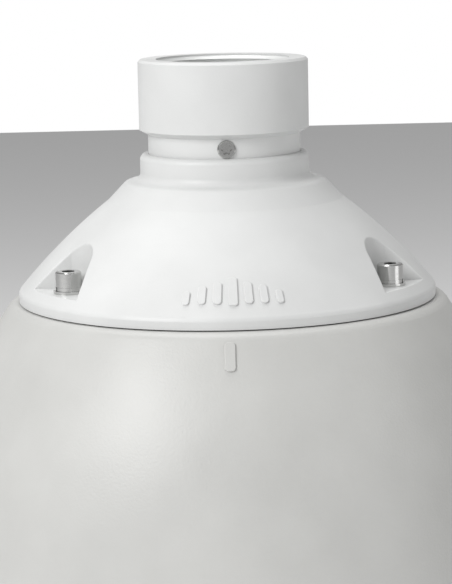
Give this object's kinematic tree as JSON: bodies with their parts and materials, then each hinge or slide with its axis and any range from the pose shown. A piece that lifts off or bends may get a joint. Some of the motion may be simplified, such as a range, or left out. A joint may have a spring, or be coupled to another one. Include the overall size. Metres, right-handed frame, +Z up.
{
  "type": "pan tilt zoom camera",
  "caption": "Hanging outdoor pan, tilt and zoom camera: threaded pipe adapter, conical cap, egg-shaped housing and a clear dome over a motor-driven zoom camera.",
  "frame": {"origin": "centre of the pipe adapter's mouth, in the plane of its top face", "axes": "+Z up along the pipe thread and the pan axis, -Y to the front, which the heading marks face, +X to the right seen from the front"},
  "size_m": [0.203, 0.203, 0.275],
  "materials": {
    "powder_coat": "fine-textured light grey powder coat",
    "cap_coat": "smooth light grey powder coat",
    "stainless": "bright stainless steel",
    "zinc_steel": "zinc-plated steel",
    "bearing_steel": "ground bearing steel",
    "aluminium": "machined aluminium",
    "rubber": "black rubber",
    "dome_clear": "clear moulded polycarbonate",
    "lens_glass": "coated optical glass",
    "black_plastic": "matt black moulding",
    "grey_plastic": "grey moulding",
    "white_nylon": "natural nylon",
    "green_plastic": "green moulding",
    "circuit_board": "green solder mask",
    "brass": "machined brass",
    "bronze": "sintered bronze"
  },
  "bodies": {
    "mount_cap": {"pipe_adapter": "powder_coat", "lock_screws": "stainless", "neck_seal": "rubber", "top_cap": "cap_coat", "cable_grommet": "rubber", "cap_screws": "stainless", "cap_spring_washers": "stainless", "cap_flat_washers": "stainless", "cap_gasket": "rubber", "clamp_ring": "zinc_steel"},
    "housing": {"housing_shell": "powder_coat", "dome_ring": "powder_coat", "dome_ring_screws": "stainless", "dome_seal": "rubber", "dome_bubble": "dome_clear", "base_plate": "zinc_steel", "base_screws": "zinc_steel", "main_board": "circuit_board", "board_spacers": "brass", "terminal_block": "green_plastic", "network_jack": "aluminium", "board_parts": "black_plastic", "heater": "aluminium", "fan_frame": "black_plastic", "pan_motor": "zinc_steel", "bearing_outer_race": "bearing_steel", "slip_ring_stator": "grey_plastic"},
    "fan_wheel": {"fan_rotor": "black_plastic"},
    "button": {"reset_button": "black_plastic"},
    "pinion": {"pan_pinion": "brass"},
    "pan_frame": {"pan_gear": "white_nylon", "bearing_inner_race": "bearing_steel", "bearing_balls": "bearing_steel", "bearing_cage": "brass", "slip_ring_rotor": "grey_plastic", "yoke": "aluminium", "yoke_screws": "zinc_steel", "tilt_motor": "zinc_steel", "tilt_belt": "rubber", "tilt_bushings": "bronze", "inner_shroud": "black_plastic"},
    "drive_pulley": {"tilt_drive_pulley": "aluminium"},
    "tilt_head": {"tilt_pulley": "aluminium", "tilt_trunnions": "zinc_steel", "camera_cradle": "zinc_steel", "cradle_screws": "zinc_steel", "camera_casing": "black_plastic", "casing_rear_cover": "black_plastic", "lens_barrel": "black_plastic", "front_lens": "lens_glass", "lens_ring": "black_plastic", "guide_rods": "bearing_steel", "lens_motors": "zinc_steel", "image_sensor": "circuit_board"},
    "zoom_lead": {"zoom_screw": "brass"},
    "zoom_carriage": {"zoom_group": "black_plastic"},
    "focus_lead": {"focus_screw": "brass"},
    "focus_carriage": {"focus_group": "black_plastic"},
    "filter_slide": {"ir_filter": "lens_glass"}
  },
  "joints": [
    {"name": "heading_adjust", "type": "hinge", "parent": "mount_cap", "child": "housing", "pos_m": [0, 0, -0.08], "axis": [0, 0, 1], "range_deg": [-15, 15]},
    {"name": "fan_spin", "type": "hinge", "parent": "housing", "child": "fan_wheel", "pos_m": [-0.05, 0, -0.096], "axis": [0, 0, 1], "continuous": true},
    {"name": "reset_button_press", "type": "slide", "parent": "housing", "child": "button", "axis": [0, 0, -1], "range_m": [0, 0.0005], "stiffness_N_per_m": 400, "springref_m": -0.0005},
    {"name": "pan", "type": "hinge", "parent": "housing", "child": "pan_frame", "pos_m": [0, 0, -0.111], "axis": [0, 0, 1], "continuous": true},
    {"name": "pan_pinion_spin", "type": "hinge", "parent": "housing", "child": "pinion", "pos_m": [0.045, 0, -0.1275], "axis": [0, 0, 1], "continuous": true},
    {"name": "tilt", "type": "hinge", "parent": "pan_frame", "child": "tilt_head", "pos_m": [0, 0, -0.197], "axis": [1, 0, 0], "range_deg": [-35, 60]},
    {"name": "tilt_drive_spin", "type": "hinge", "parent": "pan_frame", "child": "drive_pulley", "pos_m": [0.064, 0, -0.16], "axis": [1, 0, 0], "range_deg": [-105.5, 180.5]},
    {"name": "zoom_screw_spin", "type": "hinge", "parent": "tilt_head", "child": "zoom_lead", "pos_m": [0.021, -0.0085, -0.18228], "axis": [0, 0.866, 0.5], "range_deg": [0, 2520]},
    {"name": "zoom_travel", "type": "slide", "parent": "tilt_head", "child": "zoom_carriage", "axis": [0, 0.866, 0.5], "range_m": [0, 0.014]},
    {"name": "focus_screw_spin", "type": "hinge", "parent": "tilt_head", "child": "focus_lead", "pos_m": [-0.021, 0.0085, -0.21172], "axis": [0, 0.866, 0.5], "range_deg": [-540, 540]},
    {"name": "focus_travel", "type": "slide", "parent": "tilt_head", "child": "focus_carriage", "axis": [0, 0.866, 0.5], "range_m": [-0.003, 0.003]},
    {"name": "ir_filter_shift", "type": "slide", "parent": "tilt_head", "child": "filter_slide", "axis": [1, 0, 0], "range_m": [0, 0.011]}
  ],
  "couplings": [
    {"joint": "pan_pinion_spin", "follows": "pan", "ratio": -4},
    {"joint": "tilt_drive_spin", "follows": "tilt", "ratio": 3},
    {"joint": "zoom_screw_spin", "follows": "zoom_travel", "rad_per_m": 3141.5},
    {"joint": "focus_screw_spin", "follows": "focus_travel", "rad_per_m": 3141.5}
  ]
}
